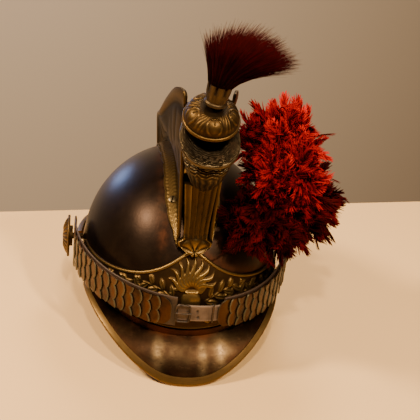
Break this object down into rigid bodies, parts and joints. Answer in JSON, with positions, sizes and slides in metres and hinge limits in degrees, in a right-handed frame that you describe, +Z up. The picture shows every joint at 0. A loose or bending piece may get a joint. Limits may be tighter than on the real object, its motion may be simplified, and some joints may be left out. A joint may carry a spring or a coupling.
{
  "type": "dragoon helmet",
  "caption": "Metal cavalry helmet with crest, front plate, visor, neck guard, scaled chin strap, horsehair tuft and feather plume.",
  "frame": {"origin": "bottom centre of the bounding box, on the surface that the helmet stands on", "axes": "+Z up, -Y to the helmet's front, +X to the wearer's left, which is the plume's side and the shortest extent"},
  "size_m": [0.2652, 0.315, 0.3272],
  "materials": {
    "skull_steel": "tarnished dark brown steel, soft gloss",
    "visor_steel": "worn steel with rust stains",
    "aged_brass": "aged brass, dark in its recesses",
    "dark_brass": "dark aged brass",
    "red_brass": "red-brown brass with green verdigris on its edges",
    "worn_leather": "worn grey-brown leather",
    "dark_iron": "dark iron",
    "horsehair": "dark red horsehair",
    "feather": "red cut feathers"
  },
  "bodies": {
    "root": {"boss_left": "aged_brass", "boss_right": "aged_brass", "crest_column": "aged_brass", "crest_cover": "dark_brass", "crest_dome": "aged_brass", "crest_hood": "dark_brass", "crest_screw_1": "dark_brass", "crest_screw_2": "dark_brass", "crest_screw_3": "dark_brass", "crest_screw_4": "dark_brass", "crest_side_left": "aged_brass", "crest_side_right": "aged_brass", "front_plate": "aged_brass", "neck_guard": "skull_steel", "neck_guard_binding": "aged_brass", "plume": "feather", "plume_socket": "aged_brass", "skull": "skull_steel", "strap_buckle": "dark_iron", "strap_end_left": "red_brass", "strap_end_right": "red_brass", "strap_keeper": "dark_iron", "strap_leather_left": "worn_leather", "strap_leather_right": "worn_leather", "strap_scale_left_01": "red_brass", "strap_scale_left_02": "red_brass", "strap_scale_left_03": "red_brass", "strap_scale_left_04": "red_brass", "strap_scale_left_05": "red_brass", "strap_scale_left_06": "red_brass", "strap_scale_left_07": "red_brass", "strap_scale_left_08": "red_brass", "strap_scale_left_09": "red_brass", "strap_scale_left_10": "red_brass", "strap_scale_left_11": "red_brass", "strap_scale_left_12": "red_brass", "strap_scale_left_13": "red_brass", "strap_scale_left_14": "red_brass", "strap_scale_right_01": "red_brass", "strap_scale_right_02": "red_brass", "strap_scale_right_03": "red_brass", "strap_scale_right_04": "red_brass", "strap_scale_right_05": "red_brass", "strap_scale_right_06": "red_brass", "strap_scale_right_07": "red_brass", "strap_scale_right_08": "red_brass", "strap_scale_right_09": "red_brass", "strap_scale_right_10": "red_brass", "strap_scale_right_11": "red_brass", "strap_scale_right_12": "red_brass", "strap_scale_right_13": "red_brass", "strap_scale_right_14": "red_brass", "strap_tab": "worn_leather", "tuft": "horsehair", "tuft_holder": "dark_brass", "visor": "visor_steel", "visor_binding": "aged_brass"}
  },
  "joints": []
}
